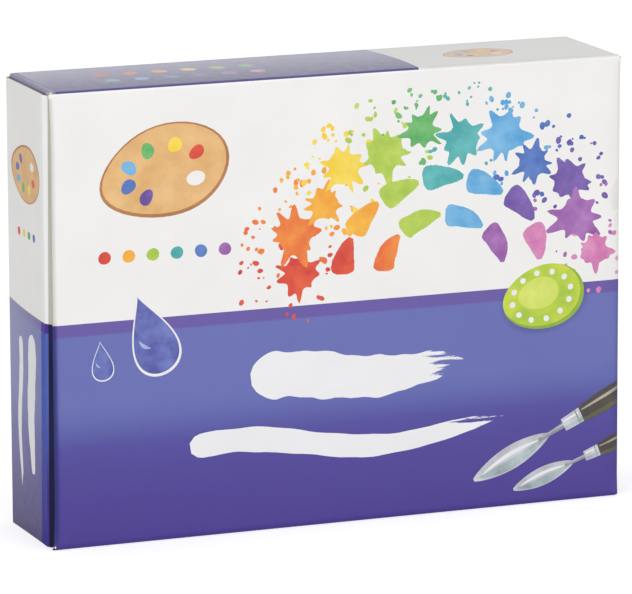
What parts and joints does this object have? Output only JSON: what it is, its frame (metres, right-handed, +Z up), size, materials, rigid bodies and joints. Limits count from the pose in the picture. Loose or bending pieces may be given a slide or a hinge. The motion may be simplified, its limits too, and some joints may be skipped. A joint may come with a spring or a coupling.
{
  "type": "gouache paint box",
  "caption": "Folding board carton for gouache that stands on a long edge, with a hinged end panel, tuck flap and dust flaps at each end, holding a grid of lidded plastic paint jars.",
  "frame": {"origin": "centre of the closed carton's base, on the plane that it stands on", "axes": "+X along the carton's long side, +Y from the front panel to the back panel, +Z up"},
  "size_m": [0.16, 0.034, 0.12],
  "materials": {
    "board": "printed, lightly varnished folding board",
    "glue": "dried carton adhesive",
    "jar_plastic": "translucent moulded plastic",
    "lid_plastic": "satin white moulded plastic",
    "lemon_paint": "thick wet gouache",
    "yellow_paint": "thick wet gouache",
    "orange_paint": "thick wet gouache",
    "red_paint": "thick wet gouache",
    "crimson_paint": "thick wet gouache",
    "violet_paint": "thick wet gouache",
    "ultramarine_paint": "thick wet gouache",
    "sky_blue_paint": "thick wet gouache",
    "green_paint": "thick wet gouache",
    "brown_paint": "thick wet gouache",
    "black_paint": "thick wet gouache",
    "white_paint": "thick wet gouache"
  },
  "bodies": {
    "carton": {"carton_sleeve": "board", "glue_seam": "glue", "jar_lemon": "jar_plastic", "jar_yellow": "jar_plastic", "jar_orange": "jar_plastic", "jar_red": "jar_plastic", "jar_crimson": "jar_plastic", "jar_violet": "jar_plastic", "jar_ultramarine": "jar_plastic", "jar_sky_blue": "jar_plastic", "jar_green": "jar_plastic", "jar_brown": "jar_plastic", "jar_black": "jar_plastic", "jar_white": "jar_plastic", "lid_lemon": "lid_plastic", "lid_yellow": "lid_plastic", "lid_orange": "lid_plastic", "lid_red": "lid_plastic", "lid_crimson": "lid_plastic", "lid_violet": "lid_plastic", "lid_ultramarine": "lid_plastic", "lid_sky_blue": "lid_plastic", "lid_green": "lid_plastic", "lid_brown": "lid_plastic", "lid_black": "lid_plastic", "lid_white": "lid_plastic", "paint_lemon": "lemon_paint", "paint_yellow": "yellow_paint", "paint_orange": "orange_paint", "paint_red": "red_paint", "paint_crimson": "crimson_paint", "paint_violet": "violet_paint", "paint_ultramarine": "ultramarine_paint", "paint_sky_blue": "sky_blue_paint", "paint_green": "green_paint", "paint_brown": "brown_paint", "paint_black": "black_paint", "paint_white": "white_paint"},
    "left_end": {"left_end_panel": "board"},
    "left_tuck": {"left_tuck_flap": "board"},
    "left_top_dust": {"left_top_dust_flap": "board"},
    "left_bottom_dust": {"left_bottom_dust_flap": "board"},
    "right_end": {"right_end_panel": "board"},
    "right_tuck": {"right_tuck_flap": "board"},
    "right_top_dust": {"right_top_dust_flap": "board"},
    "right_bottom_dust": {"right_bottom_dust_flap": "board"}
  },
  "joints": [
    {"name": "left_end_open", "type": "hinge", "parent": "carton", "child": "left_end", "pos_m": [-0.07971, 0.01671, 0.06], "axis": [0, 0, -1], "range_deg": [0, 165]},
    {"name": "left_tuck_fold", "type": "hinge", "parent": "left_end", "child": "left_tuck", "pos_m": [-0.07891, -0.01431, 0.06], "axis": [0, 0, -1], "range_deg": [-34, 0]},
    {"name": "left_top_dust_open", "type": "hinge", "parent": "carton", "child": "left_top_dust", "pos_m": [-0.07904, 0, 0.11979], "axis": [0, 1, 0], "range_deg": [0, 83]},
    {"name": "left_bottom_dust_open", "type": "hinge", "parent": "carton", "child": "left_bottom_dust", "pos_m": [-0.07904, 0, 0.00021], "axis": [0, -1, 0], "range_deg": [0, 83]},
    {"name": "right_end_open", "type": "hinge", "parent": "carton", "child": "right_end", "pos_m": [0.07971, 0.01671, 0.06], "axis": [0, 0, 1], "range_deg": [0, 165]},
    {"name": "right_tuck_fold", "type": "hinge", "parent": "right_end", "child": "right_tuck", "pos_m": [0.07891, -0.01431, 0.06], "axis": [0, 0, 1], "range_deg": [-34, 0]},
    {"name": "right_top_dust_open", "type": "hinge", "parent": "carton", "child": "right_top_dust", "pos_m": [0.07904, 0, 0.11979], "axis": [0, -1, 0], "range_deg": [0, 83]},
    {"name": "right_bottom_dust_open", "type": "hinge", "parent": "carton", "child": "right_bottom_dust", "pos_m": [0.07904, 0, 0.00021], "axis": [0, 1, 0], "range_deg": [0, 83]}
  ],
  "couplings": [
    {"joint": "left_tuck_fold", "follows": "left_end_open", "ratio": -0.2},
    {"joint": "left_top_dust_open", "follows": "left_end_open", "ratio": 0.5},
    {"joint": "left_bottom_dust_open", "follows": "left_end_open", "ratio": 0.5},
    {"joint": "right_tuck_fold", "follows": "right_end_open", "ratio": -0.2},
    {"joint": "right_top_dust_open", "follows": "right_end_open", "ratio": 0.5},
    {"joint": "right_bottom_dust_open", "follows": "right_end_open", "ratio": 0.5}
  ]
}
